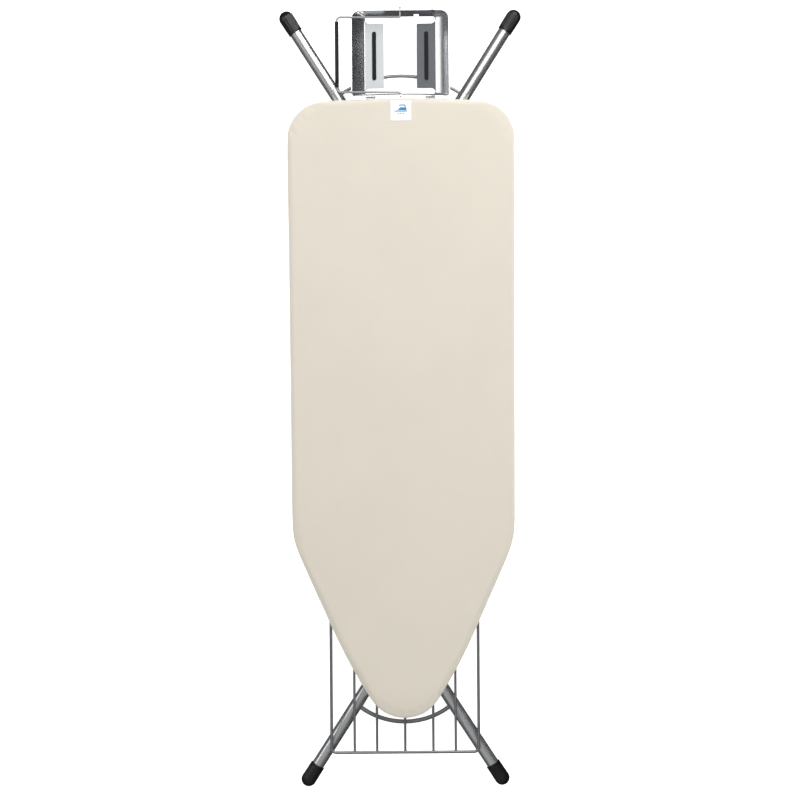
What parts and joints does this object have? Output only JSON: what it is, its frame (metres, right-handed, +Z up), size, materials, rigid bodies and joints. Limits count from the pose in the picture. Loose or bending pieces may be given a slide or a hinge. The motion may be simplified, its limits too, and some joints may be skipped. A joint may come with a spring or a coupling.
{
  "type": "ironing board",
  "caption": "Folding ironing board with a padded cover, scissor legs of round tube, a slotted iron rest with a flip-over bail and a wire linen rack.",
  "frame": {"origin": "on the floor under the scissor pivot, which is the middle of the folded board's box", "axes": "+X across the board, +Y towards the square end with the iron rest, +Z up from the floor"},
  "size_m": [0.4876, 1.566, 0.0655],
  "materials": {
    "cover_cotton": "woven cotton, ecru",
    "pad_foam": "needled felt and foam",
    "hem_elastic": "woven elastic",
    "label_cloth": "woven label",
    "deck_steel": "light grey powder coat",
    "tube_silver": "silver lacquer",
    "bracket_zinc": "zinc plated",
    "fastener_zinc": "zinc plated",
    "rest_chrome": "polished",
    "wire_grey": "dark grey lacquer",
    "bail_steel": "polished wire",
    "rubber_black": "soft rubber",
    "sleeve_black": "ribbed sleeve",
    "cap_black": "moulded, satin",
    "nylon": "nylon",
    "grip_black": "moulded, fine texture"
  },
  "bodies": {
    "board": {"deck_sheet": "deck_steel", "deck_rim": "deck_steel", "foam_pad": "pad_foam", "cover": "cover_cotton", "hem_elastic": "hem_elastic", "cover_label": "label_cloth", "rest_stiffener": "deck_steel", "pivot_stiffener": "deck_steel", "middle_stiffener": "deck_steel", "bracket_rivets": "fastener_zinc", "pivot_bushes": "nylon", "rest_frame": "rest_chrome", "rest_bolts": "fastener_zinc", "rest_nuts": "fastener_zinc", "slide_rail_right": "bracket_zinc", "slide_rail_left": "bracket_zinc", "notch_comb_right": "bracket_zinc", "notch_comb_left": "bracket_zinc", "pivot_bracket_right": "bracket_zinc", "pivot_bracket_left": "bracket_zinc", "rest_strip_right": "rubber_black", "rest_strip_left": "rubber_black", "rest_arm_right": "bracket_zinc", "rest_arm_left": "bracket_zinc"},
    "bail": {"bail_wire": "bail_steel", "bail_sleeve": "sleeve_black"},
    "inner_legs": {"inner_leg_right": "tube_silver", "inner_leg_left": "tube_silver", "inner_foot_right": "cap_black", "inner_foot_left": "cap_black", "pivot_plate_right": "bracket_zinc", "pivot_plate_left": "bracket_zinc", "inner_arc": "wire_grey", "inner_tube_plugs": "cap_black", "pivot_axle": "bracket_zinc", "rack_rod": "wire_grey", "prop_rod": "wire_grey"},
    "outer_legs": {"outer_leg_right": "tube_silver", "outer_leg_left": "tube_silver", "outer_foot_right": "cap_black", "outer_foot_left": "cap_black", "slide_plate_right": "bracket_zinc", "slide_plate_left": "bracket_zinc", "outer_arc": "wire_grey", "outer_tube_plugs": "cap_black", "slide_crossbar": "bracket_zinc", "scissor_bolts": "fastener_zinc", "scissor_washers": "fastener_zinc", "scissor_nuts": "fastener_zinc"},
    "slide_carriage": {"carriage_yoke": "bracket_zinc", "slide_shoe_right": "nylon", "slide_shoe_left": "nylon"},
    "release_lever": {"lever_shaft": "bracket_zinc", "lever_grip": "grip_black", "lever_pawl_right": "bracket_zinc", "lever_pawl_left": "bracket_zinc"},
    "linen_rack": {"rack_grid": "wire_grey"},
    "rack_prop": {"prop_wire": "wire_grey"}
  },
  "joints": [
    {"name": "legs_fold", "type": "hinge", "parent": "board", "child": "inner_legs", "pos_m": [0, 0.384, 0.047], "axis": [1, 0, 0], "range_deg": [0, 52]},
    {"name": "scissor_pivot", "type": "hinge", "parent": "inner_legs", "child": "outer_legs", "pos_m": [0, 0, 0.015], "axis": [1, 0, 0], "range_deg": [-104, 0]},
    {"name": "carriage_level", "type": "hinge", "parent": "outer_legs", "child": "slide_carriage", "pos_m": [0, -0.384, 0.047], "axis": [1, 0, 0], "range_deg": [0, 52]},
    {"name": "lever_release", "type": "hinge", "parent": "slide_carriage", "child": "release_lever", "pos_m": [0, -0.364, 0.0315], "axis": [1, 0, 0], "range_deg": [-14, 0]},
    {"name": "rack_level", "type": "hinge", "parent": "inner_legs", "child": "linen_rack", "pos_m": [0, -0.44, 0.0315], "axis": [1, 0, 0], "range_deg": [-52, 0]},
    {"name": "prop_swing", "type": "hinge", "parent": "inner_legs", "child": "rack_prop", "pos_m": [0, -0.515, 0.0315], "axis": [1, 0, 0], "range_deg": [-104, 0]},
    {"name": "bail_flip", "type": "hinge", "parent": "board", "child": "bail", "pos_m": [0, 0.688, 0.047], "axis": [0, 1, 0], "range_deg": [0, 165]}
  ],
  "couplings": [
    {"joint": "scissor_pivot", "follows": "legs_fold", "ratio": -2},
    {"joint": "carriage_level", "follows": "legs_fold", "ratio": 1},
    {"joint": "rack_level", "follows": "legs_fold", "ratio": -1},
    {"joint": "prop_swing", "follows": "legs_fold", "ratio": -2}
  ]
}
